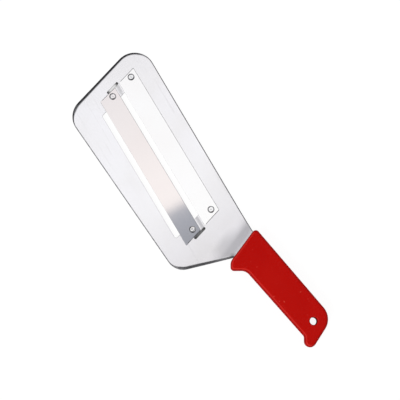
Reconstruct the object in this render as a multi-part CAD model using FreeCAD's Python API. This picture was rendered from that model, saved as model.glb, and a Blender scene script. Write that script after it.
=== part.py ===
"""Cabbage cutter with two fixed blades on a steel plate and a moulded handle.

Lengths are in millimetres. X runs along the blades from the handle to the tip,
Y points the way the cutter is pushed, and Z points up from the table on which
the cutter lies with its blades on top. The sizes below are measured from the
middle of the four rivets, and the finished parts are moved together so that the
middle of the whole cutter's footprint is at zero and its back is at Z = 0.
"""
import FreeCAD, Part
import math
import os

# Plate: one stamped sheet, blades' bed, neck and tang in one piece
PLATE_THICKNESS = 1.5
PLATE_TOP_Z = 2.95          # top of the flat plate above the table
PLATE_TIP_X = 89.25         # tip edge, where it crosses Y = 0
PLATE_HEEL_X = -110.7       # heel edge, where it crosses Y = 0
PLATE_FRONT_Y = 50.0        # front edge, where it crosses X = 0
PLATE_REAR_Y = -33.9        # rear edge, where it crosses X = 0
FRONT_EDGE_SLOPE = 3.8      # degrees from X, the plate widens towards its tip
REAR_EDGE_SLOPE = -0.6
TIP_EDGE_SKEW = 16.5        # degrees that the tip edge leans back from Y
HEEL_EDGE_SKEW = 17.3       # degrees that the heel edge leans the other way
TIP_CORNER_RADIUS = 18.5
HEEL_CORNER_RADIUS = 15.5
PLATE_EDGE_ROUND = 1.1      # round on the upper side of the plate's outline

# Blade layout, shared by the blades, their rivets, the windows and the slots
BLADE_SKEW = 16.5           # degrees that the blades' ends lean back from Y
BLADE_PITCH = 23.0          # from one blade's rivets to the other's, along Y
RIVET_SPACING = 138.5       # from tip rivet to heel rivet in one blade
BLADE_WIDTH = 18.0
BLADE_THICKNESS = 0.6
BLADE_REAR_MARGIN = 6.0     # rivet centre to the blade's blunt rear edge
BLADE_TIP_MARGIN = 4.6      # rivet centre to the blade's end, along X
BLADE_HEEL_MARGIN = 5.8
BEVEL_WIDTH = 2.4           # ground face under the cutting edge
CUTTING_EDGE_LAND = 0.1     # thickness left at the cutting edge

# Windows, through which the shreds fall, and the tilted bar between them
WINDOW_END_MARGIN = 5.3     # rivet line to the windows' ends, along X
WINDOW_CORNER_RADIUS = 2.0
REAR_WINDOW_LAP = 4.5       # how far the rear blade hangs over its window
FRONT_SHRED_GAP = 4.9       # front cutting edge, blade flat, to its window's edge
BAR_FRONT_OFFSET = 2.5      # front rivets to the line where the bar leaves the plate
BAR_REAR_INSET = 0.5        # bar's rear edge, hidden under the front blade's
BAR_TILT = 7.0              # degrees that the bar and front blade lean back
TROUGH_LEAD = 0.3           # lowest line of the press, behind the front blade
RAMP_LEAD = 0.75            # ramp's top, ahead of the rear cutting edge

# Relief slots across the bar's ends
SLOT_WIDTH = 2.0
SLOT_TIP_GAP = 0.1          # front blade's end to the slot's near side, along X
SLOT_HEEL_GAP = 0.4

# Rivets, semi-tubular, domed head on the blade side
RIVET_HEAD_RADIUS = 3.1
RIVET_HEAD_HEIGHT = 1.3
RIVET_HEAD_LAND = 0.35      # straight side under the dome
RIVET_SHANK_RADIUS = 1.5
RIVET_CLEARANCE = 0.05      # shank to hole, all round
RIVET_TAIL_RADIUS = 2.3
RIVET_TAIL_HEIGHT = 0.8
RIVET_TAIL_CHAMFER = 0.35
RIVET_HOLLOW_RADIUS = 0.9
RIVET_HOLLOW_DEPTH = 1.6

# Handle, moulded over the tang; u runs along it to its front, v across it
HANDLE_FRONT_X = -106.3     # centre of the front face
HANDLE_FRONT_Y = -21.4
HANDLE_ANGLE = 9.9          # degrees from X to the handle's own axis
HANDLE_LENGTH = 103.0
HANDLE_FRONT_WIDTH = 30.9
HANDLE_BUTT_WIDTH = 29.0
HANDLE_THICKNESS = 14.0
HANDLE_FRONT_SLANT = 12.6   # degrees that the front face leans from square
HANDLE_BUTT_SLANT = 16.3
HANDLE_EDGE_ROUND = 2.6
FRONT_REAR_CORNER_RADIUS = 3.4
BUTT_REAR_CORNER_RADIUS = 15.6

# Finger guard and butt hook on the handle's front side, before rounding
GUARD_SHOULDER_REACH = 4.7  # how far the front face runs on past the grip
GUARD_PEAK_REACH = 10.1     # height of the guard's sharp peak above the grip
GUARD_PEAK_SETBACK = 10.6   # front face to the peak, along the handle
GUARD_ROOT_SETBACK = 19.3   # front face to where the guard meets the grip
GUARD_SHOULDER_RADIUS = 8.0
GUARD_PEAK_RADIUS = 3.2
GUARD_ROOT_RADIUS = 9.0
HOOK_ROOT_INSET = 8.0       # butt's middle to where its hook starts
HOOK_PEAK_REACH = 14.5
HOOK_ROOT_RADIUS = 3.0
HOOK_PEAK_RADIUS = 5.2

# Hanging hole
HANG_HOLE_RADIUS = 3.5
HANG_HOLE_INSET = 12.8      # butt to the hole's centre, along the handle
HANG_HOLE_EDGE_ROUND = 0.8

# Neck crank and tang, the part of the sheet that the handle hides
CRANK_ANGLE = 15.0          # degrees of each of the neck's two long bends
CRANK_BEND_RADIUS = 50.0    # to the middle of the sheet
CRANK_DEPTH_IN_HANDLE = 11.0
SHOULDER_DEPTH = 4.0        # handle's front face to the tang's shoulders
TANG_WIDTH = 17.0
TANG_END_INSET = 27.0       # butt's middle to the tang's end
TANG_END_RADIUS = 6.0
TANG_SHOULDER_RADIUS = 2.0
TANG_HOLE_RADIUS = 2.5
TANG_FIRST_HOLE_SETBACK = 28.0
TANG_LAST_HOLE_MARGIN = 16.0    # tang's end to its last hole's centre

# Lines that follow from the sizes above
REAR_CUTTING_EDGE_Y = -BLADE_PITCH / 2 - BLADE_REAR_MARGIN + BLADE_WIDTH
FRONT_BLADE_REAR_Y = BLADE_PITCH / 2 - BLADE_REAR_MARGIN
REAR_WINDOW_REAR_Y = REAR_CUTTING_EDGE_Y - REAR_WINDOW_LAP
FRONT_WINDOW_FRONT_Y = FRONT_BLADE_REAR_Y + BLADE_WIDTH + FRONT_SHRED_GAP
BAR_FRONT_Y = BLADE_PITCH / 2 + BAR_FRONT_OFFSET
BAR_REAR_Y = FRONT_BLADE_REAR_Y + BAR_REAR_INSET
TROUGH_Y = FRONT_BLADE_REAR_Y - TROUGH_LEAD
RAMP_TOP_Y = REAR_CUTTING_EDGE_Y + RAMP_LEAD
TANG_LENGTH = HANDLE_LENGTH - TANG_END_INSET
TANG_MIDDLE_Z = HANDLE_THICKNESS / 2
PLATE_MIDDLE_Z = PLATE_TOP_Z - PLATE_THICKNESS / 2
HANDLE_FRONT_ANGLE = HANDLE_ANGLE + 90 + HANDLE_FRONT_SLANT

# Length past every part, for cuts that pass right through
REACH = PLATE_TIP_X - PLATE_HEEL_X + HANDLE_LENGTH


def direction(angle):
    """Unit vector in the XY plane, at an angle in degrees from X."""
    turn = math.radians(angle)
    return FreeCAD.Vector(math.cos(turn), math.sin(turn), 0)


def meet(first, first_angle, second, second_angle):
    """Point where two lines in the XY plane cross."""
    along = direction(first_angle)
    across = direction(second_angle + 90)
    travel = (second - first).dot(across) / along.dot(across)
    return first + along * travel


def rounded_wire(corners):
    """Closed wire through (point, radius) corners, each rounded by an arc."""
    edges = []
    count = len(corners)
    previous_end = None
    first_start = None
    for index in range(count):
        point, radius = corners[index]
        before = (corners[index - 1][0] - point).normalize()
        after = (corners[(index + 1) % count][0] - point).normalize()
        if radius > 0:
            half = before.getAngle(after) / 2
            reach = radius / math.tan(half)
            start = point + before * reach
            end = point + after * reach
            inward = (before + after).normalize()
            middle = point + inward * (radius / math.sin(half) - radius)
        else:
            start = point
            end = point
        if previous_end is None:
            first_start = start
        else:
            edges.append(Part.makeLine(previous_end, start))
        if radius > 0:
            edges.append(Part.Arc(start, middle, end).toShape())
        previous_end = end
    edges.append(Part.makeLine(previous_end, first_start))
    return Part.Wire(edges)


def prism(wire, low, high):
    """Upright solid over a flat wire, from one height to another."""
    face = Part.Face(wire)
    face.translate(FreeCAD.Vector(0, 0, low))
    return face.extrude(FreeCAD.Vector(0, 0, high - low))


def through(wire):
    """Upright solid over a flat wire that passes the whole cutter."""
    return prism(wire, -REACH, REACH)


def skewed(x, y):
    """Point whose X slides back with Y, as the blades' ends do."""
    return FreeCAD.Vector(x - y * math.tan(math.radians(BLADE_SKEW)), y, 0)


def skewed_wire(heel_x, tip_x, rear_y, front_y, radius):
    """Parallelogram with ends on the blades' skew; X is taken at Y = 0."""
    points = [
        skewed(heel_x, rear_y),
        skewed(tip_x, rear_y),
        skewed(tip_x, front_y),
        skewed(heel_x, front_y),
    ]
    return rounded_wire([(point, radius) for point in points])


def tilted(shape):
    """Copy of a shape leaned back with the bar about the bar's front line."""
    pivot = FreeCAD.Vector(0, BAR_FRONT_Y, PLATE_TOP_Z)
    leaned = shape.copy()
    leaned.rotate(pivot, FreeCAD.Vector(1, 0, 0), BAR_TILT)
    return leaned


def on_handle(shape):
    """Copy of a shape moved from the handle's own axes to the cutter's."""
    moved = shape.copy()
    moved.rotate(FreeCAD.Vector(0, 0, 0), FreeCAD.Vector(0, 0, 1), HANDLE_ANGLE)
    moved.translate(FreeCAD.Vector(HANDLE_FRONT_X, HANDLE_FRONT_Y, 0))
    return moved


def from_handle(u, v):
    """Point given on the handle's own axes, on the cutter's."""
    along = direction(HANDLE_ANGLE) * u
    across = direction(HANDLE_ANGLE + 90) * v
    return FreeCAD.Vector(HANDLE_FRONT_X, HANDLE_FRONT_Y, 0) + along + across


def rivet_line_x(end):
    """X at Y = 0 of the line through both blades' rivets at one end."""
    return end * RIVET_SPACING / 2


def plate_outline():
    """Plan of the whole sheet: plate, neck and tang."""
    tip = FreeCAD.Vector(PLATE_TIP_X, 0, 0)
    heel = FreeCAD.Vector(PLATE_HEEL_X, 0, 0)
    front = FreeCAD.Vector(0, PLATE_FRONT_Y, 0)
    rear = FreeCAD.Vector(0, PLATE_REAR_Y, 0)
    tip_angle = 90 + TIP_EDGE_SKEW
    heel_angle = 90 - HEEL_EDGE_SKEW
    shoulder = from_handle(-SHOULDER_DEPTH, 0)
    tang_front = from_handle(0, TANG_WIDTH / 2)
    tang_rear = from_handle(0, -TANG_WIDTH / 2)
    corners = [
        (meet(tip, tip_angle, rear, REAR_EDGE_SLOPE), TIP_CORNER_RADIUS),
        (meet(tip, tip_angle, front, FRONT_EDGE_SLOPE), TIP_CORNER_RADIUS),
        (meet(heel, heel_angle, front, FRONT_EDGE_SLOPE), HEEL_CORNER_RADIUS),
        (meet(heel, heel_angle, shoulder, HANDLE_FRONT_ANGLE), 0),
        (meet(tang_front, HANDLE_ANGLE, shoulder, HANDLE_FRONT_ANGLE), TANG_SHOULDER_RADIUS),
        (from_handle(-TANG_LENGTH, TANG_WIDTH / 2), TANG_END_RADIUS),
        (from_handle(-TANG_LENGTH, -TANG_WIDTH / 2), TANG_END_RADIUS),
        (meet(tang_rear, HANDLE_ANGLE, shoulder, HANDLE_FRONT_ANGLE), TANG_SHOULDER_RADIUS),
        (meet(rear, REAR_EDGE_SLOPE, shoulder, HANDLE_FRONT_ANGLE), 0),
    ]
    return rounded_wire(corners)


def cranked_sheet():
    """Endless sheet: flat under the blades, cranked up to the tang's height."""
    angle = math.radians(CRANK_ANGLE)
    bend_run = CRANK_BEND_RADIUS * math.sin(angle)
    bend_rise = CRANK_BEND_RADIUS * (1 - math.cos(angle))
    rise = TANG_MIDDLE_Z - PLATE_MIDDLE_Z
    straight_rise = rise - 2 * bend_rise
    straight_run = straight_rise / math.tan(angle)
    high_end = -CRANK_DEPTH_IN_HANDLE
    low_start = high_end + 2 * bend_run + straight_run
    low_centre = FreeCAD.Vector(low_start, 0, PLATE_MIDDLE_Z + CRANK_BEND_RADIUS)
    high_centre = FreeCAD.Vector(high_end, 0, TANG_MIDDLE_Z - CRANK_BEND_RADIUS)

    def side(offset):
        """Edges of one face of the sheet, from its plate end to its tang end."""
        low_radius = CRANK_BEND_RADIUS - offset
        high_radius = CRANK_BEND_RADIUS + offset
        low_arc = []
        high_arc = []
        for share in (0, 0.5, 1):
            turn = angle * share
            spoke = FreeCAD.Vector(math.sin(turn), 0, math.cos(turn))
            low_arc.append(low_centre - spoke * low_radius)
            high_arc.insert(0, high_centre + spoke * high_radius)
        plate_end = FreeCAD.Vector(REACH, 0, PLATE_MIDDLE_Z + offset)
        tang_end = FreeCAD.Vector(-REACH, 0, TANG_MIDDLE_Z + offset)
        edges = [
            Part.makeLine(plate_end, low_arc[0]),
            Part.Arc(*low_arc).toShape(),
            Part.makeLine(low_arc[2], high_arc[0]),
            Part.Arc(*high_arc).toShape(),
            Part.makeLine(high_arc[2], tang_end),
        ]
        return edges, plate_end, tang_end

    top, top_plate, top_tang = side(PLATE_THICKNESS / 2)
    bottom, bottom_plate, bottom_tang = side(-PLATE_THICKNESS / 2)
    bottom.reverse()
    top.append(Part.makeLine(top_tang, bottom_tang))
    bottom.append(Part.makeLine(bottom_plate, top_plate))
    section = Part.Face(Part.Wire(top + bottom))
    section.translate(FreeCAD.Vector(0, -REACH, 0))
    sheet = section.extrude(FreeCAD.Vector(0, 2 * REACH, 0))
    sheet.rotate(FreeCAD.Vector(0, 0, 0), FreeCAD.Vector(0, 0, 1), HANDLE_FRONT_ANGLE - 90)
    sheet.translate(FreeCAD.Vector(HANDLE_FRONT_X, HANDLE_FRONT_Y, 0))
    return sheet


def tip_top_edges(sheet):
    """Upper edges at the tip; a round put on them runs on around the outline."""
    chosen = []
    for edge in sheet.Edges:
        box = edge.BoundBox
        if box.XMin > 0 and box.ZMin > PLATE_MIDDLE_Z:
            chosen.append(edge)
    return chosen


def slot_wire(centre_x):
    """Plan of a relief slot from the ramp's top to the bar's front line."""
    radius = SLOT_WIDTH / 2
    lean = math.cos(math.radians(BLADE_SKEW))
    half = (BAR_FRONT_Y - RAMP_TOP_Y) / 2 / lean - radius
    centre = skewed(centre_x, (BAR_FRONT_Y + RAMP_TOP_Y) / 2)
    along = direction(90 + BLADE_SKEW)
    across = direction(BLADE_SKEW)
    front = centre + along * half
    rear = centre - along * half
    front_cap = [front + across * radius, front + along * radius, front - across * radius]
    rear_cap = [rear - across * radius, rear - along * radius, rear + across * radius]
    edges = [
        Part.makeLine(rear_cap[2], front_cap[0]),
        Part.Arc(*front_cap).toShape(),
        Part.makeLine(front_cap[2], rear_cap[0]),
        Part.Arc(*rear_cap).toShape(),
    ]
    return Part.Wire(edges)


def pressed_profile(points):
    """Section of pressed sheet in the YZ plane, one thickness tall, along X."""
    top = [FreeCAD.Vector(-REACH, y, z) for y, z in points]
    drop = FreeCAD.Vector(0, 0, -PLATE_THICKNESS)
    bottom = [point + drop for point in reversed(top)]
    wire = Part.makePolygon(top + bottom + [top[0]])
    return Part.Face(wire).extrude(FreeCAD.Vector(2 * REACH, 0, 0))


def rivet_centres(blade):
    """Heel and tip rivet centres of a blade: -1 the rear one, 1 the front one."""
    y = blade * BLADE_PITCH / 2
    return [skewed(rivet_line_x(end), y) for end in (-1, 1)]


def rivet_hole(centre):
    """Upright drill for one rivet."""
    base = FreeCAD.Vector(centre.x, centre.y, -REACH)
    return Part.makeCylinder(RIVET_SHANK_RADIUS + RIVET_CLEARANCE, 2 * REACH, base)


def front_rivet_place(centre):
    """Place of a front rivet on the flat, before the bar's tilt is applied."""
    span = (centre.y - BAR_FRONT_Y) / math.cos(math.radians(BAR_TILT))
    return FreeCAD.Vector(centre.x, BAR_FRONT_Y + span, 0)


def make_plate():
    """Stamped sheet with its windows, slots, tilted bar, rivet holes and tang."""
    sheet = cranked_sheet().common(through(plate_outline()))
    sheet = sheet.makeFillet(PLATE_EDGE_ROUND, tip_top_edges(sheet))

    slot_half = SLOT_WIDTH / 2 / math.cos(math.radians(BLADE_SKEW))
    window_tip = rivet_line_x(1) - WINDOW_END_MARGIN
    window_heel = rivet_line_x(-1) + WINDOW_END_MARGIN
    bar_tip = rivet_line_x(1) + BLADE_TIP_MARGIN + SLOT_TIP_GAP
    bar_heel = rivet_line_x(-1) - BLADE_HEEL_MARGIN - SLOT_HEEL_GAP

    window = skewed_wire(
        window_heel, window_tip, REAR_WINDOW_REAR_Y, FRONT_WINDOW_FRONT_Y, WINDOW_CORNER_RADIUS
    )
    bed = through(skewed_wire(bar_heel, bar_tip, RAMP_TOP_Y, BAR_FRONT_Y, 0))
    sheet = sheet.cut(through(window))
    sheet = sheet.cut(bed)
    for slot_x in (bar_heel - slot_half, bar_tip + slot_half):
        sheet = sheet.cut(through(slot_wire(slot_x)))

    slope = math.tan(math.radians(BAR_TILT))
    front_line = (BAR_FRONT_Y, PLATE_TOP_Z)
    bar_rear = (BAR_REAR_Y, PLATE_TOP_Z - (BAR_FRONT_Y - BAR_REAR_Y) * slope)
    trough = (TROUGH_Y, PLATE_TOP_Z - (BAR_FRONT_Y - TROUGH_Y) * slope)
    ramp_top = (RAMP_TOP_Y, PLATE_TOP_Z)
    bar = pressed_profile([bar_rear, front_line]).common(bed)
    strap = pressed_profile([ramp_top, trough, front_line])
    for heel_x, tip_x in ((bar_heel, window_heel), (window_tip, bar_tip)):
        end_plan = through(skewed_wire(heel_x, tip_x, RAMP_TOP_Y, BAR_FRONT_Y, 0))
        bar = bar.fuse(strap.common(end_plan))
    sheet = sheet.fuse(bar).removeSplitter()

    for centre in rivet_centres(-1):
        sheet = sheet.cut(rivet_hole(centre))
    for centre in rivet_centres(1):
        sheet = sheet.cut(tilted(rivet_hole(front_rivet_place(centre))))
    for setback in (TANG_FIRST_HOLE_SETBACK, TANG_LENGTH - TANG_LAST_HOLE_MARGIN):
        base = from_handle(-setback, 0) - FreeCAD.Vector(0, 0, REACH)
        sheet = sheet.cut(Part.makeCylinder(TANG_HOLE_RADIUS, 2 * REACH, base))
    return sheet


def make_blade(blade):
    """Thin blade, flat on the plate or on the tilted bar, ground under its front."""
    rivet_y = blade * BLADE_PITCH / 2
    if blade > 0:
        rivet_y = front_rivet_place(FreeCAD.Vector(0, rivet_y, 0)).y
    rear_y = rivet_y - BLADE_REAR_MARGIN
    front_y = rear_y + BLADE_WIDTH
    shift = (rivet_y - blade * BLADE_PITCH / 2) * math.tan(math.radians(BLADE_SKEW))
    plan = skewed_wire(
        rivet_line_x(-1) - BLADE_HEEL_MARGIN + shift,
        rivet_line_x(1) + BLADE_TIP_MARGIN + shift,
        rear_y,
        front_y,
        0,
    )
    blank = prism(plan, PLATE_TOP_Z, PLATE_TOP_Z + BLADE_THICKNESS)
    waste = Part.makePolygon([
        FreeCAD.Vector(-REACH, front_y - BEVEL_WIDTH, PLATE_TOP_Z),
        FreeCAD.Vector(-REACH, front_y, PLATE_TOP_Z + BLADE_THICKNESS - CUTTING_EDGE_LAND),
        FreeCAD.Vector(-REACH, front_y + BEVEL_WIDTH, PLATE_TOP_Z),
        FreeCAD.Vector(-REACH, front_y - BEVEL_WIDTH, PLATE_TOP_Z),
    ])
    blank = blank.cut(Part.Face(waste).extrude(FreeCAD.Vector(2 * REACH, 0, 0)))
    for centre in rivet_centres(blade):
        if blade > 0:
            centre = front_rivet_place(centre)
        blank = blank.cut(rivet_hole(centre))
    if blade > 0:
        blank = tilted(blank)
    return blank


def make_rivet(centre, plate_grip):
    """Semi-tubular rivet, upright, its head on top of a blade."""
    head_z = PLATE_TOP_Z + BLADE_THICKNESS
    tail_z = PLATE_TOP_Z - plate_grip
    dome_low = head_z + RIVET_HEAD_LAND
    dome_rise = RIVET_HEAD_HEIGHT - RIVET_HEAD_LAND
    dome_radius = (RIVET_HEAD_RADIUS ** 2 + dome_rise ** 2) / (2 * dome_rise)
    dome_centre_z = dome_low + dome_rise - dome_radius
    half_turn = math.asin(RIVET_HEAD_RADIUS / dome_radius) / 2
    crown = FreeCAD.Vector(0, 0, head_z + RIVET_HEAD_HEIGHT)
    haunch = FreeCAD.Vector(
        dome_radius * math.sin(half_turn), 0, dome_centre_z + dome_radius * math.cos(half_turn)
    )
    rim = FreeCAD.Vector(RIVET_HEAD_RADIUS, 0, dome_low)
    foot_z = tail_z - RIVET_TAIL_HEIGHT
    outline = [
        rim,
        FreeCAD.Vector(RIVET_HEAD_RADIUS, 0, head_z),
        FreeCAD.Vector(RIVET_SHANK_RADIUS, 0, head_z),
        FreeCAD.Vector(RIVET_SHANK_RADIUS, 0, tail_z),
        FreeCAD.Vector(RIVET_TAIL_RADIUS, 0, tail_z),
        FreeCAD.Vector(RIVET_TAIL_RADIUS, 0, foot_z + RIVET_TAIL_CHAMFER),
        FreeCAD.Vector(RIVET_TAIL_RADIUS - RIVET_TAIL_CHAMFER, 0, foot_z),
        FreeCAD.Vector(RIVET_HOLLOW_RADIUS, 0, foot_z),
        FreeCAD.Vector(RIVET_HOLLOW_RADIUS, 0, foot_z + RIVET_HOLLOW_DEPTH),
        FreeCAD.Vector(0, 0, foot_z + RIVET_HOLLOW_DEPTH),
        crown,
    ]
    edges = [Part.Arc(crown, haunch, rim).toShape()]
    for start, end in zip(outline, outline[1:]):
        edges.append(Part.makeLine(start, end))
    section = Part.Face(Part.Wire(edges))
    rivet = section.revolve(FreeCAD.Vector(0, 0, 0), FreeCAD.Vector(0, 0, 1), 360)
    rivet.translate(FreeCAD.Vector(centre.x, centre.y, 0))
    return rivet


def handle_wire():
    """Plan of the handle on its own axes, guard and butt hook included."""
    front_lean = math.tan(math.radians(HANDLE_FRONT_SLANT))
    butt_lean = math.tan(math.radians(HANDLE_BUTT_SLANT))
    front_half = HANDLE_FRONT_WIDTH / 2
    butt_half = HANDLE_BUTT_WIDTH / 2
    shoulder_v = front_half + GUARD_SHOULDER_REACH
    hook_v = butt_half + HOOK_PEAK_REACH
    taper = (front_half - butt_half) / HANDLE_LENGTH
    corners = [
        (front_half * front_lean, -front_half, FRONT_REAR_CORNER_RADIUS),
        (-shoulder_v * front_lean, shoulder_v, GUARD_SHOULDER_RADIUS),
        (-GUARD_PEAK_SETBACK, front_half + GUARD_PEAK_REACH, GUARD_PEAK_RADIUS),
        (-GUARD_ROOT_SETBACK, front_half - GUARD_ROOT_SETBACK * taper, GUARD_ROOT_RADIUS),
        (-HANDLE_LENGTH + HOOK_ROOT_INSET, butt_half + HOOK_ROOT_INSET * taper, HOOK_ROOT_RADIUS),
        (-HANDLE_LENGTH - hook_v * butt_lean, hook_v, HOOK_PEAK_RADIUS),
        (-HANDLE_LENGTH + butt_half * butt_lean, -butt_half, BUTT_REAR_CORNER_RADIUS),
    ]
    return rounded_wire([(FreeCAD.Vector(u, v, 0), radius) for u, v, radius in corners])


def make_handle(plate):
    """Moulded handle with rounded edges, closed tightly around the tang."""
    body = prism(handle_wire(), 0, HANDLE_THICKNESS)
    rims = [edge for edge in body.Edges if edge.BoundBox.ZLength < HANDLE_THICKNESS / 2]
    body = body.makeFillet(HANDLE_EDGE_ROUND, rims)
    hole_base = FreeCAD.Vector(HANG_HOLE_INSET - HANDLE_LENGTH, 0, 0)
    body = body.cut(Part.makeCylinder(HANG_HOLE_RADIUS, HANDLE_THICKNESS, hole_base))
    hole_rims = []
    for edge in body.Edges:
        box = edge.BoundBox
        off_centre = FreeCAD.Vector(box.Center.x, box.Center.y, 0) - hole_base
        if box.ZLength < HANG_HOLE_RADIUS and off_centre.Length < HANG_HOLE_RADIUS:
            hole_rims.append(edge)
    body = body.makeFillet(HANG_HOLE_EDGE_ROUND, hole_rims)
    return on_handle(body).cut(plate)


def make_parts():
    """All the cutter's parts by name, on the layout's own axes."""
    plate = make_plate()
    parts = {
        "plate": plate,
        "rear_blade": make_blade(-1),
        "front_blade": make_blade(1),
        "handle": make_handle(plate),
    }
    for end, centre in zip(("heel", "tip"), rivet_centres(-1)):
        parts["rear_blade_rivet_" + end] = make_rivet(centre, PLATE_THICKNESS)
    front_grip = PLATE_THICKNESS * math.cos(math.radians(BAR_TILT))
    for end, centre in zip(("heel", "tip"), rivet_centres(1)):
        upright = make_rivet(front_rivet_place(centre), front_grip)
        parts["front_blade_rivet_" + end] = tilted(upright)
    return parts


def main():
    """Centre the cutter over zero and write one file for each part."""
    parts = make_parts()
    box = Part.makeCompound(list(parts.values())).optimalBoundingBox(False, False)
    shift = FreeCAD.Vector(-box.Center.x, -box.Center.y, -box.ZMin)
    os.makedirs("parts", exist_ok=True)
    for name, shape in parts.items():
        shape.translate(shift)
        shape.exportStep("parts/" + name + ".step")


main()
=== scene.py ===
import math

import bpy
from mathutils import Matrix, Vector, geometry


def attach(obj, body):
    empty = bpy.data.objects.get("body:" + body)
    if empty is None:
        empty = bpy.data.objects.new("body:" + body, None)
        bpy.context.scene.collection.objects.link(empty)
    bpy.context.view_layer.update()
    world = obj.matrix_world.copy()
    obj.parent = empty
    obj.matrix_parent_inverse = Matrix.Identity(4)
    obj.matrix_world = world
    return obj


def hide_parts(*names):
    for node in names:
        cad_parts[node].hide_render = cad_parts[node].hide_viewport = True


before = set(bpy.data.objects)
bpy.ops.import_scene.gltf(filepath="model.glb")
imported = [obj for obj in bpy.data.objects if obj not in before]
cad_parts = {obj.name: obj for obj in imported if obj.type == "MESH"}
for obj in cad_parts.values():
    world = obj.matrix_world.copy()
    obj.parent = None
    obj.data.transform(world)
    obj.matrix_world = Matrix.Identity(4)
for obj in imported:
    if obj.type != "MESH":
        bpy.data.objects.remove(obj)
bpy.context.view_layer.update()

# Plate: one stamped stainless sheet that is bed, neck and tang in one. Its rim is
# pressed over on the blade side, its windows and slots are deburred, and a bar
# between the windows is leaned back to carry the front blade.

# Lengths are in millimetres, measured from the middle of the four rivets, and
# angles in degrees
FRAME_SHIFT = Vector((60.258, -1.461, 0.0))
MILLIMETRE = 0.001
NEAR_ZERO, NEAR_ONE = 1e-5, 0.9999
ARC_STEP = 6.0

SHEET = 1.5
PLATE_TOP = 2.95
TIP_EDGE_X, HEEL_EDGE_X = 89.25, -110.7
FRONT_EDGE_Y, REAR_EDGE_Y = 50.0, -33.9
FRONT_SLOPE, REAR_SLOPE = 3.8, -0.6
TIP_SKEW, HEEL_SKEW = 16.5, 17.3
TIP_CORNER, HEEL_CORNER = 18.5, 15.5
HANDLE_FRONT = Vector((-106.3, -21.4))
HANDLE_TURN = 9.9
HANDLE_FRONT_SLANT = 12.6
HANDLE_THICKNESS = 14.0
SHOULDER_SETBACK, SHOULDER_CORNER, NECK_CORNER = 4.0, 1.4, 0.8
TANG_LENGTH, TANG_HALF_WIDTH, TANG_CORNER = 76.0, 8.5, 6.0
TANG_HOLE_SETBACKS, TANG_HOLE_RADIUS = (28.0, 60.0), 2.5
BLADE_SKEW = 16.5
RIVET_SPAN, RIVET_PITCH, RIVET_HOLE_RADIUS = 138.5, 23.0, 1.55
BAR_TILT = 7.0
BAR_FRONT, BAR_REAR, TROUGH, RAMP_TOP = 14.0, 6.0, 5.2, 1.25
BAR_BEND, RAMP_BEND, BAR_END_RUN = 0.25, 0.3, 0.9
SKEW_RUN = math.tan(math.radians(BLADE_SKEW))
BAR_DROP = math.tan(math.radians(BAR_TILT))
BAR_TIP_X = RIVET_SPAN / 2 + 4.7
BAR_HEEL_X = -RIVET_SPAN / 2 - 6.2
WINDOW_TIP_X = RIVET_SPAN / 2 - 5.3
WINDOW_HEEL_X = -WINDOW_TIP_X
WINDOW_REAR_Y, WINDOW_FRONT_Y = -4.0, 28.4
WINDOW_CORNER, BAR_CORNER = 2.0, 0.5
SLOT_WIDTH, SLOT_CORNER = 2.0, 0.9
SLOT_RUN = SLOT_WIDTH / math.cos(math.radians(BLADE_SKEW))
CRANK_TURN, CRANK_RADIUS, CRANK_START = 15.0, 50.0, -11.0


def heading(degrees):
    """Unit vector in plan, at an angle in degrees from X."""
    turn = math.radians(degrees)
    return Vector((math.cos(turn), math.sin(turn)))


def crossing(first, first_angle, second, second_angle):
    """Point in plan where two lines meet."""
    across = heading(second_angle + 90)
    along = heading(first_angle)
    return first + along * ((second - first).dot(across) / along.dot(across))


def rounded_loop(corners, step):
    """Closed plan loop through (point, radius) corners, divided into short steps."""
    points = []
    count = len(corners)
    for index, (corner, radius) in enumerate(corners):
        before = (corners[index - 1][0] - corner).normalized()
        after = (corners[(index + 1) % count][0] - corner).normalized()
        if radius == 0:
            points.append(corner.copy())
            continue
        half = before.angle(after) / 2
        centre = corner + (before + after).normalized() * (radius / math.sin(half))
        reach = radius / math.tan(half)
        start = corner + before * reach - centre
        end = corner + after * reach - centre
        sweep = start.angle_signed(end)
        parts = max(3, math.ceil(abs(sweep) / math.radians(ARC_STEP)))
        for part in range(parts + 1):
            turned = Matrix.Rotation(-sweep * part / parts, 2) @ start
            points.append(centre + turned)
    loop = []
    for here, there in zip(points, points[1:] + points[:1]):
        parts = max(1, math.ceil((there - here).length / step))
        loop += [here.lerp(there, part / parts) for part in range(parts)]
    return loop


def inward_normals(loop):
    """Unit vectors to the left of a loop, which is where its material lies."""
    normals = []
    for index, point in enumerate(loop):
        ahead = (loop[(index + 1) % len(loop)] - point).normalized()
        behind = (point - loop[index - 1]).normalized()
        run = (ahead + behind).normalized()
        normals.append(Vector((-run.y, run.x)))
    return normals


def inside(point, loops):
    """Even-odd test of a plan point against several loops at once."""
    odd = False
    for loop in loops:
        previous = loop[-1]
        for here in loop:
            if (here.y > point.y) != (previous.y > point.y):
                share = (point.y - here.y) / (previous.y - here.y)
                if point.x < here.x + share * (previous.x - here.x):
                    odd = not odd
            previous = here
    return odd


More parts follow.
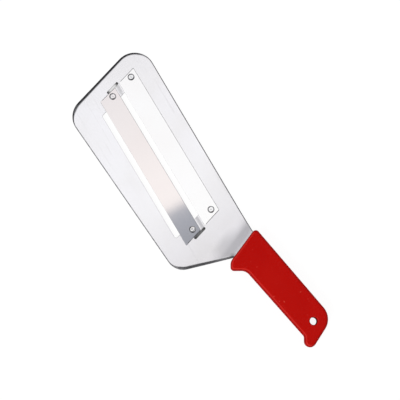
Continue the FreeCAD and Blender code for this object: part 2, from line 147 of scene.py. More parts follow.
def skin(name, loops, seeds, top, bottom):
    """Closed mesh: a top and a bottom face over the same plan, joined by rows.

    Each loop is a list of rows of points from the top face down to the bottom
    face, with their rim values. Seeds are plan points inside both faces.
    """
    points, rim, faces = [], [], []
    first, last, plan, fences = [], [], [], []
    for rows in loops:
        count = len(rows[0][0])
        start = len(points)
        for row, values in rows:
            points += row
            rim += values
        for level in range(len(rows) - 1):
            for index in range(count):
                here = start + level * count + index
                there = start + level * count + (index + 1) % count
                faces.append((here, here + count, there + count, there))
        fence = len(plan)
        plan += [point.xy for point in rows[0][0]]
        fences += [(fence + i, fence + (i + 1) % count) for i in range(count)]
        first += range(start, start + count)
        last += range(len(points) - count, len(points))
    rings = [[point.xy for point in rows[0][0]] for rows in loops]
    fenced = len(plan)
    cut = geometry.delaunay_2d_cdt(plan + seeds, fences, [], 0, NEAR_ZERO)
    corners, _, triangles, origins = cut[:4]
    upper, lower = {}, {}
    for index, (corner, origin) in enumerate(zip(corners, origins)):
        ring = [item for item in origin if item < fenced]
        if ring:
            upper[index], lower[index] = first[ring[0]], last[ring[0]]
        else:
            upper[index], lower[index] = len(points), len(points) + 1
            points.append(Vector((corner.x, corner.y, top(corner))))
            points.append(Vector((corner.x, corner.y, bottom(corner))))
            rim += [0.0, 0.0]
    for triangle in triangles:
        a, b, c = (corners[index] for index in triangle)
        turn = (b - a).cross(c - a)
        longest = max((b - a).length_squared, (c - b).length_squared, (a - c).length_squared)
        if abs(turn) < NEAR_ZERO * longest or not inside((a + b + c) / 3, rings):
            continue
        if turn < 0:
            triangle = triangle[::-1]
        faces.append([upper[index] for index in triangle])
        faces.append([lower[index] for index in reversed(triangle)])
    mesh = bpy.data.meshes.new(name)
    placed = [(point + FRAME_SHIFT) * MILLIMETRE for point in points]
    mesh.from_pydata(placed, [], faces)
    mesh.attributes.new("rim", "FLOAT", "POINT").data.foreach_set("value", rim)
    used = {index for face in faces for index in face}
    assert len(used) == len(points), name
    mesh.shade_smooth()
    piece = bpy.data.objects.new(name, mesh)
    bpy.context.scene.collection.objects.link(piece)
    return piece


# Inset, rise over the lower face and rim value of the small break round an underside
LOWER_BREAK = ((0.0, 0.12, 1.0), (0.04, 0.03, 1.0), (0.12, 0.0, 0.0))
# Most of the sheet's thickness that the press and the break may take
PRESSED_SHARE, BROKEN_SHARE = 0.6, 0.3


def rolled_rows(loop, widths, depth, top, bottom, roll, hem=0.5, shades=None):
    """Rows round one loop of a sheet: pressed or deburred above, a small break below.

    The roll lists inset, drop and rim value, the first two as shares of the
    width and the depth.
    """
    normals = inward_normals(loop)
    shades = shades or [1.0] * len(loop)
    rows = []
    for inset, drop, value in roll:
        row = []
        for point, normal, width in zip(loop, normals, widths):
            place = point + normal * inset * width
            high, low = top(place), bottom(place)
            fall = min(depth * width, (high - low) * PRESSED_SHARE) * drop
            row.append(Vector((place.x, place.y, high - fall)))
        rows.append((row, [value * shade for shade in shades]))
    for inset, rise, value in (*LOWER_BREAK, (hem, 0.0, 0.0)):
        row = []
        for point, normal in zip(loop, normals):
            place = point + normal * inset
            high, low = top(place), bottom(place)
            row.append(Vector((place.x, place.y, low + min(rise, (high - low) * BROKEN_SHARE))))
        rows.append((row, [value] * len(loop)))
    return rows


def crank_height(run, offset):
    """Height of the sheet at a distance in front of the handle's front face."""
    turn = math.radians(CRANK_TURN)
    low = PLATE_TOP - SHEET / 2
    high = HANDLE_THICKNESS / 2
    straight = high - low - 2 * CRANK_RADIUS * (1 - math.cos(turn))
    foot = CRANK_START + 2 * CRANK_RADIUS * math.sin(turn) + straight / math.tan(turn)
    inner, outer = CRANK_RADIUS - offset, CRANK_RADIUS + offset
    inner_end = foot - inner * math.sin(turn)
    outer_end = CRANK_START + outer * math.sin(turn)
    if run >= foot:
        return low + offset
    if run > inner_end:
        return low + CRANK_RADIUS - math.sqrt(inner ** 2 - (foot - run) ** 2)
    if run > outer_end:
        rise = (inner_end - run) * math.tan(turn)
        return low + CRANK_RADIUS - inner * math.cos(turn) + rise
    if run > CRANK_START:
        return high - CRANK_RADIUS + math.sqrt(outer ** 2 - (run - CRANK_START) ** 2)
    return high + offset


def run_to_handle(point):
    """Distance of a plan point in front of the handle's front face."""
    return (point - HANDLE_FRONT).dot(heading(HANDLE_TURN + HANDLE_FRONT_SLANT))


def eased(value, bend):
    """Ramp that is 0 below zero and value above it, with a rounded start."""
    return (value + math.sqrt(value * value + bend * bend)) / 2


def bed_drop(point):
    """How far the pressed bed between the slots lies under the plate's top."""
    along = point.x + point.y * SKEW_RUN
    lean = eased(BAR_FRONT - point.y, BAR_BEND) * BAR_DROP
    deepest = (BAR_FRONT - TROUGH) * BAR_DROP
    ramp = eased(TROUGH - point.y, RAMP_BEND) * (deepest / (TROUGH - RAMP_TOP) + BAR_DROP)
    beyond = max(along - BAR_TIP_X, BAR_HEEL_X - along, 0.0)
    return max(0.0, lean - ramp) * max(0.0, 1.0 - beyond / BAR_END_RUN)


def plate_top(point):
    """Height of the sheet's upper face at a plan point."""
    return crank_height(run_to_handle(point), SHEET / 2) - bed_drop(point)


def plate_bottom(point):
    """Height of the sheet's lower face at a plan point."""
    return crank_height(run_to_handle(point), -SHEET / 2) - bed_drop(point)


def slid(x, y):
    """Plan point whose X slides back with Y, as the blades' ends do."""
    return Vector((x - y * SKEW_RUN, y))


front_line = HANDLE_TURN + HANDLE_FRONT_SLANT + 90
tang_along, tang_across = heading(HANDLE_TURN), heading(HANDLE_TURN + 90)
shoulder = HANDLE_FRONT - tang_along * SHOULDER_SETBACK
tip_mark, heel_mark = Vector((TIP_EDGE_X, 0)), Vector((HEEL_EDGE_X, 0))
front_mark, rear_mark = Vector((0, FRONT_EDGE_Y)), Vector((0, REAR_EDGE_Y))
tang_front = HANDLE_FRONT + tang_across * TANG_HALF_WIDTH
tang_rear = HANDLE_FRONT - tang_across * TANG_HALF_WIDTH
outline = rounded_loop([
    (crossing(tip_mark, 90 + TIP_SKEW, rear_mark, REAR_SLOPE), TIP_CORNER),
    (crossing(tip_mark, 90 + TIP_SKEW, front_mark, FRONT_SLOPE), TIP_CORNER),
    (crossing(heel_mark, 90 - HEEL_SKEW, front_mark, FRONT_SLOPE), HEEL_CORNER),
    (crossing(heel_mark, 90 - HEEL_SKEW, shoulder, front_line), NECK_CORNER),
    (crossing(tang_front, HANDLE_TURN, shoulder, front_line), SHOULDER_CORNER),
    (tang_front - tang_along * TANG_LENGTH, TANG_CORNER),
    (tang_rear - tang_along * TANG_LENGTH, TANG_CORNER),
    (crossing(tang_rear, HANDLE_TURN, shoulder, front_line), SHOULDER_CORNER),
    (crossing(rear_mark, REAR_SLOPE, shoulder, front_line), NECK_CORNER),
], 3.0)
# The press rolls the rim over, further at the tip and the heel than along the
# sides, and hardly where the handle hides it
SIDE_RIM, TIP_AND_HEEL_RIM, RIM_GROWTH, HIDDEN_RIM = 0.87, 1.48, 0.01, 0.25
END_TURN, HIDDEN_RUN, HEEL_GLEAM = 1.3, 1.5, 0.14
PRESSED_DEPTH = 0.58
PRESSED_ROLL = (
    (1.25, 0.0, 0.0), (1.0, 0.0, 0.15), (0.86, 0.06, 0.7), (0.7, 0.2, 1.0),
    (0.5, 0.42, 1.0), (0.3, 0.65, 1.0), (0.13, 0.85, 1.0), (0.03, 1.0, 1.0),
    (0.0, 1.2, 1.0),
)
# The rims carry painted dark reflection, which HEEL_GLEAM paints lighter on the heel edge
outline_widths = []
outline_shades = []
for point, normal in zip(outline, inward_normals(outline)):
    end = min(1.0, abs(normal.x) * END_TURN) ** 2
    pressed = SIDE_RIM + (TIP_AND_HEEL_RIM + RIM_GROWTH * point.y) * end
    shown = min(1.0, max(0.0, run_to_handle(point) + HIDDEN_RUN) / HIDDEN_RUN)
    outline_widths.append(HIDDEN_RIM + (pressed - HIDDEN_RIM) * shown)
    outline_shades.append(1.0 - HEEL_GLEAM * max(0.0, normal.x))
plate_loops = [rolled_rows(
    outline, outline_widths, PRESSED_DEPTH, plate_top, plate_bottom, PRESSED_ROLL,
    shades=outline_shades,
)]
DEBURRED_WIDTH, DEBURRED_DEPTH, GLEAM_TURN = 0.22, 0.8, 1.6
DEBURRED_ROLL = (
    (2.2, 0.0, 0.0), (1.0, 0.0, 0.4), (0.6, 0.12, 0.8), (0.25, 0.4, 1.0),
    (0.0, 1.0, 1.0),
)


def cut_loop(corners, step, shade, bright_side=0.0):
    """Deburred rows round a hole of the plate; corners run the other way round.

    The shade scales the rim's painted dark reflection; the bright side is the sign of X
    on which that painted shade is left off, so that the rim catches the light instead.
    """
    loop = rounded_loop(corners[::-1], step)
    shades = [
        shade * max(0.0, 1.0 - GLEAM_TURN * max(0.0, normal.x * bright_side))
        for normal in inward_normals(loop)
    ]
    return rolled_rows(
        loop, [DEBURRED_WIDTH] * len(loop), DEBURRED_DEPTH, plate_top, plate_bottom,
        DEBURRED_ROLL, shades=shades,
    )


def circle_corners(centre, radius):
    """Square round a circle, whose corner radius makes it the circle."""
    square = [(-1, -1), (1, -1), (1, 1), (-1, 1)]
    return [(centre + Vector(side) * radius, radius * NEAR_ONE) for side in square]


WINDOW_SHADE, FULL_SHADE = 0.5, 1.0
for rear_y, rear_corner, front_y, front_corner in (
    (WINDOW_REAR_Y, WINDOW_CORNER, BAR_REAR, BAR_CORNER),
    (BAR_FRONT, BAR_CORNER, WINDOW_FRONT_Y, WINDOW_CORNER),
):
    plate_loops.append(cut_loop([
        (slid(WINDOW_HEEL_X, rear_y), rear_corner),
        (slid(WINDOW_TIP_X, rear_y), rear_corner),
        (slid(WINDOW_TIP_X, front_y), front_corner),
        (slid(WINDOW_HEEL_X, front_y), front_corner),
    ], 1.5, WINDOW_SHADE))
for heel_x, tip_x, outside in (
    (BAR_HEEL_X - SLOT_RUN, BAR_HEEL_X, -1.0), (BAR_TIP_X, BAR_TIP_X + SLOT_RUN, 1.0),
):
    plate_loops.append(cut_loop([
        (slid(heel_x, RAMP_TOP), SLOT_CORNER),
        (slid(tip_x, RAMP_TOP), SLOT_CORNER),
        (slid(tip_x, BAR_FRONT), SLOT_CORNER),
        (slid(heel_x, BAR_FRONT), SLOT_CORNER),
    ], 0.7, FULL_SHADE, outside))
rivet_places = {
    f"{blade}_blade_rivet_{end}": slid(along * RIVET_SPAN / 2, across * RIVET_PITCH / 2)
    for blade, across in (("rear", -1), ("front", 1))
    for end, along in (("heel", -1), ("tip", 1))
}
for centre in rivet_places.values():
    plate_loops.append(cut_loop(circle_corners(centre, RIVET_HOLE_RADIUS), 1.0, FULL_SHADE))
for setback in TANG_HOLE_SETBACKS:
    centre = HANDLE_FRONT - tang_along * setback
    plate_loops.append(cut_loop(circle_corners(centre, TANG_HOLE_RADIUS), 1.0, FULL_SHADE))

plate_rings = [[point.xy for point in rows[0][0]] for rows in plate_loops]


def clear_of(point, rings, margin):
    """True if a plan point is well away from every ring."""
    return all((point - item).length > margin for ring in rings for item in ring)


# Mesh points inside the sheet: rows that are close over the cranked neck and wide
# over the flat bed, and lines along the folds of the leaned bar
NECK_ROWS = [(-13.0 + step, 3.0) for step in range(36)]
BED_ROWS = [(23.0 + step * 6.0, 6.0) for step in range(34)]
FOLD_LINES = (
    (14.3, 1.5), (13.7, 1.5), (9.8, 1.5), (5.6, 1.0), (5.2, 1.0), (4.8, 1.0), (3.2, 1.0),
    (1.6, 1.0), (1.2, 1.0), (0.8, 1.0),
)
FOLD_START, FOLD_LENGTH = -85.0, 170.0
row_way, bed_way = heading(front_line), heading(front_line - 90)
seeds = [
    HANDLE_FRONT + bed_way * run + row_way * side * spacing
    for run, spacing in NECK_ROWS + BED_ROWS for side in range(-40, 41)
]
for y, spacing in FOLD_LINES:
    seeds += [slid(FOLD_START + step * spacing, y) for step in range(int(FOLD_LENGTH / spacing))]
plate_seeds = [
    point for point in seeds
    if inside(point, plate_rings) and clear_of(point, plate_rings, 0.9)
]
plate = skin("stamped_plate", plate_loops, plate_seeds, plate_top, plate_bottom)


def group_with(name, inputs, outputs):
    """Empty shader node group with named sockets, and its input and output nodes."""
    group = bpy.data.node_groups.new(name, "ShaderNodeTree")
    for label, kind, value in inputs:
        socket = group.interface.new_socket(label, in_out="INPUT", socket_type=kind)
        socket.default_value = value
    for label, kind in outputs:
        group.interface.new_socket(label, in_out="OUTPUT", socket_type=kind)
    return group, group.nodes.new("NodeGroupInput"), group.nodes.new("NodeGroupOutput")


def add_node(tree, kind, links=None, **settings):
    """New node with its settings and its inputs, each a value or another's output."""
    node = tree.nodes.new(kind)
    for label, value in settings.items():
        setattr(node, label, value)
    for label, value in (links or {}).items():
        if isinstance(value, bpy.types.NodeSocket):
            tree.links.new(value, node.inputs[label])
        else:
            node.inputs[label].default_value = value
    return node


def ranged(tree, value, start, end, low=0.0, high=1.0, ease="LINEAR"):
    """Value carried from one range to another, and held at both ends."""
    return add_node(tree, "ShaderNodeMapRange", {
        "Value": value, "From Min": start, "From Max": end, "To Min": low, "To Max": high,
    }, interpolation_type=ease).outputs[0]


def product(tree, first, second):
    """One value times another."""
    return add_node(tree, "ShaderNodeMath", {0: first, 1: second}, operation="MULTIPLY").outputs[0]


def scaled_sum(tree, value, scale, rest):
    """Value times a scale, plus the rest."""
    return add_node(tree, "ShaderNodeMath", {0: value, 1: scale, 2: rest},
                    operation="MULTIPLY_ADD").outputs[0]


def own_place(tree):
    """Object coordinates of the piece."""
    return add_node(tree, "ShaderNodeTexCoord").outputs["Object"]


def noise_at(tree, place, scale, detail, roughness, distortion=0.0):
    """Noise from 0 to 1 at a place."""
    return add_node(tree, "ShaderNodeTexNoise", {
        "Vector": place, "Scale": scale, "Detail": detail, "Roughness": roughness,
        "Distortion": distortion,
    }).outputs["Fac"]


def stretched_noise(tree, scale, detail, roughness):
    """Noise on Object coordinates, stretched by a scale for each axis."""
    spread = add_node(tree, "ShaderNodeVectorMath", {0: own_place(tree), 1: scale},
                      operation="MULTIPLY")
    return noise_at(tree, spread.outputs[0], 1.0, detail, roughness)


def away_from(tree, spot, reach, turn=0.0):
    """Distance from a spot on the piece, as a share of the reach along each axis."""
    local = add_node(tree, "ShaderNodeMapping", {
        "Vector": own_place(tree), "Location": spot, "Scale": reach,
        "Rotation": (0.0, 0.0, turn),
    }, vector_type="TEXTURE")
    away = add_node(tree, "ShaderNodeVectorMath", {0: local.outputs[0]}, operation="LENGTH")
    return away.outputs["Value"]


# Fine straight lines left by rolling and polishing, used by plate, blades and rivets
grain, grain_in, grain_out = group_with(
    "rolled grain",
    [("Along", "NodeSocketFloat", 30.0), ("Across", "NodeSocketFloat", 3000.0)],
    [("Lines", "NodeSocketFloat")],
)
spread = add_node(grain, "ShaderNodeCombineXYZ", {
    "X": grain_in.outputs["Along"], "Y": grain_in.outputs["Across"],
    "Z": grain_in.outputs["Across"],
})
lines = stretched_noise(grain, spread.outputs[0], 4.0, 0.65)
grain.links.new(lines, grain_out.inputs["Lines"])

# Faint smears, specks and hairline scratches of a thing that has been handled
handling, handling_in, handling_out = group_with(
    "handling",
    [("Smear Scale", "NodeSocketFloat", 22.0), ("Speck Scale", "NodeSocketFloat", 260.0)],
    [("Smear", "NodeSocketFloat"), ("Speck", "NodeSocketFloat"), ("Hairline", "NodeSocketFloat")],
)
place = own_place(handling)
smear = noise_at(handling, place, handling_in.outputs["Smear Scale"], 3.0, 0.5, 0.6)
speck = noise_at(handling, place, handling_in.outputs["Speck Scale"], 2.0, 0.6)
turned = add_node(handling, "ShaderNodeMapping", {
    "Vector": place, "Rotation": (0.0, 0.0, 0.7), "Scale": (14.0, 900.0, 900.0),
})
hair = noise_at(handling, turned.outputs[0], 1.0, 1.0, 0.4)
for label, noise, start, end in (
    ("Smear", smear, 0.35, 0.68), ("Speck", speck, 0.68, 0.76), ("Hairline", hair, 0.7, 0.74),
):
    handling.links.new(ranged(handling, noise, start, end), handling_out.inputs[label])

# Rims: the rim value of the mesh, broken up so that it isn't even. The steels use it
# for rougher rims and for painted dark reflection, the handle for painted highlight and shade
rim_wear_and_shade, rim_in, rim_out = group_with(
    "rim wear", [("Breakup", "NodeSocketFloat", 0.5)], [("Rim", "NodeSocketFloat")],
)
stored = add_node(rim_wear_and_shade, "ShaderNodeAttribute", attribute_name="rim")
patches = stretched_noise(rim_wear_and_shade, (400.0, 400.0, 400.0), 3.0, 0.6)
level = add_node(rim_wear_and_shade, "ShaderNodeMix", {
    "Factor": rim_in.outputs["Breakup"], "A": 1.0, "B": ranged(rim_wear_and_shade, patches, 0.3, 0.6),
}, data_type="FLOAT")
rim_amount = product(rim_wear_and_shade, stored.outputs["Fac"], level.outputs[0])
rim_wear_and_shade.links.new(rim_amount, rim_out.inputs["Rim"])


def new_material(name):
    """Material with its tree and its one surface shader."""
    material = bpy.data.materials.new(name)
    material.use_nodes = True
    return material, material.node_tree, material.node_tree.nodes["Principled BSDF"]


def use_group(tree, group, values=None):
    """Instance of a shader node group with its own values."""
    node = tree.nodes.new("ShaderNodeGroup")
    node.node_tree = group
    for label, value in (values or {}).items():
        node.inputs[label].default_value = value
    return node


# A Mix node names its sockets alike for every kind, so its colours go by number
COLOUR_A, COLOUR_B, COLOUR_RESULT = 6, 7, 2


def mix_colour(tree, factor, first, second, blend="MIX"):
    """Colour mixed from two others by a factor from 0 to 1."""
    node = add_node(tree, "ShaderNodeMix", {"Factor": factor}, data_type="RGBA", blend_type=blend)
    for socket, value in ((node.inputs[COLOUR_A], first), (node.inputs[COLOUR_B], second)):
        if isinstance(value, bpy.types.NodeSocket):
            tree.links.new(value, socket)
        else:
            socket.default_value = (*value, 1.0)
    return node.outputs[COLOUR_RESULT]


# Shares of a steel's roughness: what is always there, and what each mark adds
PLAIN_SHARE, LINES_SHARE, SMEAR_SHARE, HAIRLINE_SHARE = 0.7, 0.5, 0.25, 0.4
RIM_ROUGHNESS, HAIRLINE_DEPTH, STEEL_BREAKUP = 0.1, -0.2, 0.35


def brushed_steel(name, bright, dull, painted_rim_shade, roughness, grain_values, bump):
    """Steel with rolled grain, faint smears and rougher rims painted dark, a painted dark reflection.
    """
    material, tree, shader = new_material(name)
    lines = use_group(tree, grain, grain_values).outputs["Lines"]
    marks = use_group(tree, handling)
    smear, hairline = marks.outputs["Smear"], marks.outputs["Hairline"]
    rim = use_group(tree, rim_wear_and_shade, {"Breakup": STEEL_BREAKUP}).outputs["Rim"]
    # Rims are painted in the darker rim colour, a painted dark reflection of their rounded edges
    colour = mix_colour(tree, rim, mix_colour(tree, smear, bright, dull), painted_rim_shade)
    tree.links.new(colour, shader.inputs["Base Color"])
    shader.inputs["Metallic"].default_value = 1.0
    coarse = PLAIN_SHARE * roughness
    for mark, added in (
        (lines, LINES_SHARE * roughness), (smear, SMEAR_SHARE * roughness),
        (hairline, HAIRLINE_SHARE * roughness), (rim, RIM_ROUGHNESS),
    ):
        coarse = scaled_sum(tree, mark, added, coarse)
    tree.links.new(coarse, shader.inputs["Roughness"])
    relief = add_node(tree, "ShaderNodeBump", {
        "Strength": 1.0, "Distance": bump,
        "Height": scaled_sum(tree, hairline, HAIRLINE_DEPTH, lines),
    })
    tree.links.new(relief.outputs[0], shader.inputs["Normal"])
    return material


plate_finish = brushed_steel(
    "satin rolled stainless", bright=(0.925, 0.92, 0.95), dull=(0.905, 0.895, 0.91),
    painted_rim_shade=(0.16, 0.16, 0.17), roughness=0.17,
    grain_values={"Along": 25.0, "Across": 2600.0}, bump=0.0000016,
)
# Painted shade: the sheet's colour darkens from its middle toward the neck
NECK_SHADE_START, NECK_SHADE_END, NECK_SHADE_TINT = 0.03, -0.045, (0.86, 0.85, 0.855)
tree = plate_finish.node_tree
shader = tree.nodes["Principled BSDF"]
clean = shader.inputs["Base Color"].links[0].from_socket
apart = add_node(tree, "ShaderNodeSeparateXYZ", {0: own_place(tree)})
toward_neck_shade = ranged(tree, apart.outputs["X"], NECK_SHADE_START, NECK_SHADE_END, ease="SMOOTHSTEP")
shade = mix_colour(tree, toward_neck_shade, clean, NECK_SHADE_TINT, "MULTIPLY")
# Two darker patches at the neck's front corner: the larger is painted shade that widens the neck's
# shade toward the front, the smaller darkens the corner by the handle
for spot, reach, light_left in (
    ((-0.0375, -0.0065, 0.005), (0.0085, 0.021, 1.0), 0.8),
    ((-0.0512, -0.0077, 0.007), (0.004, 0.005, 1.0), 0.5),
):
    away = away_from(tree, spot, reach, math.radians(HANDLE_TURN + HANDLE_FRONT_SLANT))
    fade = ranged(tree, away, 0.0, 1.0, light_left, 1.0, "SMOOTHSTEP")
    shade = mix_colour(tree, 1.0, shade, fade, "MULTIPLY")
tree.links.new(shade, shader.inputs["Base Color"])
plate.data.materials.append(plate_finish)
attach(plate, "root")
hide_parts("plate")


# Blades: two thin hardened strips lying flat on the plate and on its leaned bar,
# each ground from below along its front edge and held by a rivet at either end.
BLADE_SHEET = 0.6
BLADE_WIDTH = 18.0
BLADE_REAR_MARGIN, BLADE_HEEL_MARGIN, BLADE_TIP_MARGIN = 6.0, 5.8, 4.6
BLADE_CORNER, EDGE_CORNER = 0.6, 0.3
BEVEL, BEVEL_BEND = 2.4, 0.12
CUTTING_LAND = 0.1
BACK_RIM, END_RIM, EDGE_RIM, HOLE_RIM = 0.29, 0.13, 0.05, 0.1
BLADE_ROLL_DEPTH, HOLE_ROLL_DEPTH = 0.5, 0.9
BLADE_ROLL = (
    (1.1, 0.0, 0.0), (1.0, 0.0, 0.6), (0.55, 0.16, 1.0), (0.2, 0.5, 1.0), (0.0, 1.0, 1.0),
)
BLADE_HEM = 0.14
TOUCHING = 1e-7


def make_blade(name, rivet_y, slide, lean):
    """One blade, built flat and then leaned back about the bar's front line."""
    rear = rivet_y - BLADE_REAR_MARGIN
    front = rear + BLADE_WIDTH
    bevel_start = front - BEVEL

    def blade_top(point):
        """Height of the blade's flat upper face."""
        return PLATE_TOP + BLADE_SHEET

    def blade_bottom(point):
        """Height of the lower face, which climbs along the bevel."""
        ground = min(BEVEL, max(0.0, point.y - bevel_start)) / BEVEL
        return PLATE_TOP + (BLADE_SHEET - CUTTING_LAND) * ground

    heel_x = -RIVET_SPAN / 2 - BLADE_HEEL_MARGIN + slide
    tip_x = RIVET_SPAN / 2 + BLADE_TIP_MARGIN + slide
    loop = rounded_loop([
        (slid(heel_x, rear), BLADE_CORNER),
        (slid(tip_x, rear), BLADE_CORNER),
        (slid(tip_x, bevel_start), 0.0),
        (slid(tip_x, front), EDGE_CORNER),
        (slid(heel_x, front), EDGE_CORNER),
        (slid(heel_x, bevel_start), 0.0),
    ], 2.0)
    widths = [
        BACK_RIM + END_RIM * abs(normal.x) if point.y < bevel_start + 0.5 else EDGE_RIM
        for point, normal in zip(loop, inward_normals(loop))
    ]
    loops = [rolled_rows(
        loop, widths, BLADE_ROLL_DEPTH, blade_top, blade_bottom, BLADE_ROLL, BLADE_HEM,
    )]
    for end in (-1, 1):
        centre = slid(end * RIVET_SPAN / 2 + slide, rivet_y)
        hole = rounded_loop(circle_corners(centre, RIVET_HOLE_RADIUS)[::-1], 1.0)
        loops.append(rolled_rows(
            hole, [HOLE_RIM] * len(hole), HOLE_ROLL_DEPTH, blade_top, blade_bottom, BLADE_ROLL,
        ))
    rings = [[point.xy for point in rows[0][0]] for rows in loops]
    rows = (
        rear + 3.0, rear + 9.0, bevel_start - BEVEL_BEND, bevel_start, bevel_start + BEVEL_BEND,
        front - 1.0,
    )
    seeds = [slid(heel_x + step * 2.0, y) for y in rows for step in range(80)]
    seeds = [p for p in seeds if inside(p, rings) and clear_of(p, rings, 0.35)]
    blade = skin(name, loops, seeds, blade_top, blade_bottom)
    upper_face = (PLATE_TOP + BLADE_SHEET) * MILLIMETRE
    ground = blade.data.attributes.new("ground", "FLOAT", "POINT")
    for vertex, mark in zip(blade.data.vertices, ground.data):
        y = vertex.co.y / MILLIMETRE - FRAME_SHIFT.y
        below = vertex.co.z < upper_face - TOUCHING
        mark.value = 1.0 if y > bevel_start - 0.01 and below else 0.0
    pivot = (Vector((0, BAR_FRONT, PLATE_TOP)) + FRAME_SHIFT) * MILLIMETRE
    leaning = Matrix.Rotation(math.radians(lean), 4, "X")
    blade.data.transform(Matrix.Translation(pivot) @ leaning @ Matrix.Translation(-pivot))
    return blade


bar_span = (RIVET_PITCH / 2 - BAR_FRONT) / math.cos(math.radians(BAR_TILT))
front_rivet_y = BAR_FRONT + bar_span
rear_blade = make_blade("rear_cutting_blade", -RIVET_PITCH / 2, slide=0.0, lean=0.0)
front_slide = (front_rivet_y - RIVET_PITCH / 2) * SKEW_RUN
front_blade = make_blade("front_cutting_blade", front_rivet_y, front_slide, BAR_TILT)

blade_finish = brushed_steel(
    "polished blade steel", bright=(0.97, 0.968, 0.972), dull=(0.955, 0.945, 0.945),
    painted_rim_shade=(0.05, 0.05, 0.055), roughness=0.06,
    grain_values={"Along": 40.0, "Across": 3600.0}, bump=0.0000008,
)
# The bevel keeps the grinding wheel's lines, which run across the edge
WHEEL_DEPTH = 2.0
tree = blade_finish.node_tree
wheel = stretched_noise(tree, (4200.0, 60.0, 60.0), 2.0, 0.6)
ground = add_node(tree, "ShaderNodeAttribute", attribute_name="ground")
bite = product(tree, wheel, ground.outputs["Fac"])
relief = next(node for node in tree.nodes if node.type == "BUMP")
old_height = relief.inputs["Height"].links[0].from_socket
tree.links.new(scaled_sum(tree, bite, WHEEL_DEPTH, old_height), relief.inputs["Height"])
for blade, node in ((rear_blade, "rear_blade"), (front_blade, "front_blade")):
    blade.data.materials.append(blade_finish)
    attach(blade, "root")
    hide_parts(node)


# Rivets: four semi-tubular steel rivets, set from below. Each has a flat-topped
# head with a steep rounded side and a small dimple, and a rolled hollow tail.
rivet_finish = brushed_steel(
    "bright rivet steel", bright=(0.95, 0.95, 0.95), dull=(0.88, 0.88, 0.89),
    painted_rim_shade=(0.14, 0.14, 0.15), roughness=0.1,
    grain_values={"Along": 900.0, "Across": 900.0}, bump=0.000002,
)

lathe = bpy.data.node_groups.new("turned rivet", "GeometryNodeTree")
lathe.is_modifier = True
for label, kind in (
    ("Section", "NodeSocketGeometry"), ("Spindle Radius", "NodeSocketFloat"),
    ("Corner Round", "NodeSocketFloat"), ("Divisions", "NodeSocketInt"),
    ("Crown Radius", "NodeSocketFloat"), ("Head Radius", "NodeSocketFloat"),
    ("Place", "NodeSocketVector"), ("Lean", "NodeSocketVector"),
    ("Finish", "NodeSocketMaterial"),
):
    lathe.interface.new_socket(label, in_out="INPUT", socket_type=kind)
lathe.interface.new_socket("Rivet", in_out="OUTPUT", socket_type="NodeSocketGeometry")
lathe_in = lathe.nodes.new("NodeGroupInput")
lathe_out = lathe.nodes.new("NodeGroupOutput")
section = add_node(lathe, "GeometryNodeMeshToCurve", {"Mesh": lathe_in.outputs["Section"]})
softened = add_node(lathe, "GeometryNodeFilletCurve", {
    "Curve": section.outputs[0], "Radius": lathe_in.outputs["Corner Round"], "Count": 3,
}, mode="POLY")
spindle = add_node(lathe, "GeometryNodeCurvePrimitiveCircle", {
    "Resolution": lathe_in.outputs["Divisions"], "Radius": lathe_in.outputs["Spindle Radius"],
})
turned_skin = add_node(lathe, "GeometryNodeCurveToMesh", {
    "Curve": spindle.outputs[0], "Profile Curve": softened.outputs[0],
})
welded = add_node(lathe, "GeometryNodeMergeByDistance", {
    "Geometry": turned_skin.outputs[0], "Distance": 0.000002,
})
smooth = add_node(lathe, "GeometryNodeSetShadeSmooth", {"Geometry": welded.outputs[0]})
spot = add_node(lathe, "GeometryNodeInputPosition")
flat_spot = add_node(lathe, "ShaderNodeVectorMath", {0: spot.outputs[0], 1: (1.0, 1.0, 0.0)},
                     operation="MULTIPLY")
radius = add_node(lathe, "ShaderNodeVectorMath", {0: flat_spot.outputs[0]}, operation="LENGTH")
# The head's steep side gets a rising rim value, which the rivet steel paints dark: a painted dark
# reflection round the crown
side = ranged(
    lathe, radius.outputs["Value"], lathe_in.outputs["Crown Radius"],
    lathe_in.outputs["Head Radius"],
)
marked = add_node(lathe, "GeometryNodeStoreNamedAttribute", {
    "Geometry": smooth.outputs[0], "Name": "rim", "Value": side,
}, data_type="FLOAT", domain="POINT")
placed = add_node(lathe, "GeometryNodeTransform", {
    "Geometry": marked.outputs[0], "Translation": lathe_in.outputs["Place"],
    "Rotation": lathe_in.outputs["Lean"],
})
realized = add_node(lathe, "GeometryNodeRealizeInstances", {"Geometry": placed.outputs[0]})
finished = add_node(lathe, "GeometryNodeSetMaterial", {
    "Geometry": realized.outputs[0], "Material": lathe_in.outputs["Finish"],
})
lathe.links.new(finished.outputs[0], lathe_out.inputs[0])


def socket_id(tree, label):
    """Identifier by which a modifier knows one of a tree's inputs."""
    return next(item.identifier for item in tree.interface.items_tree if item.name == label)


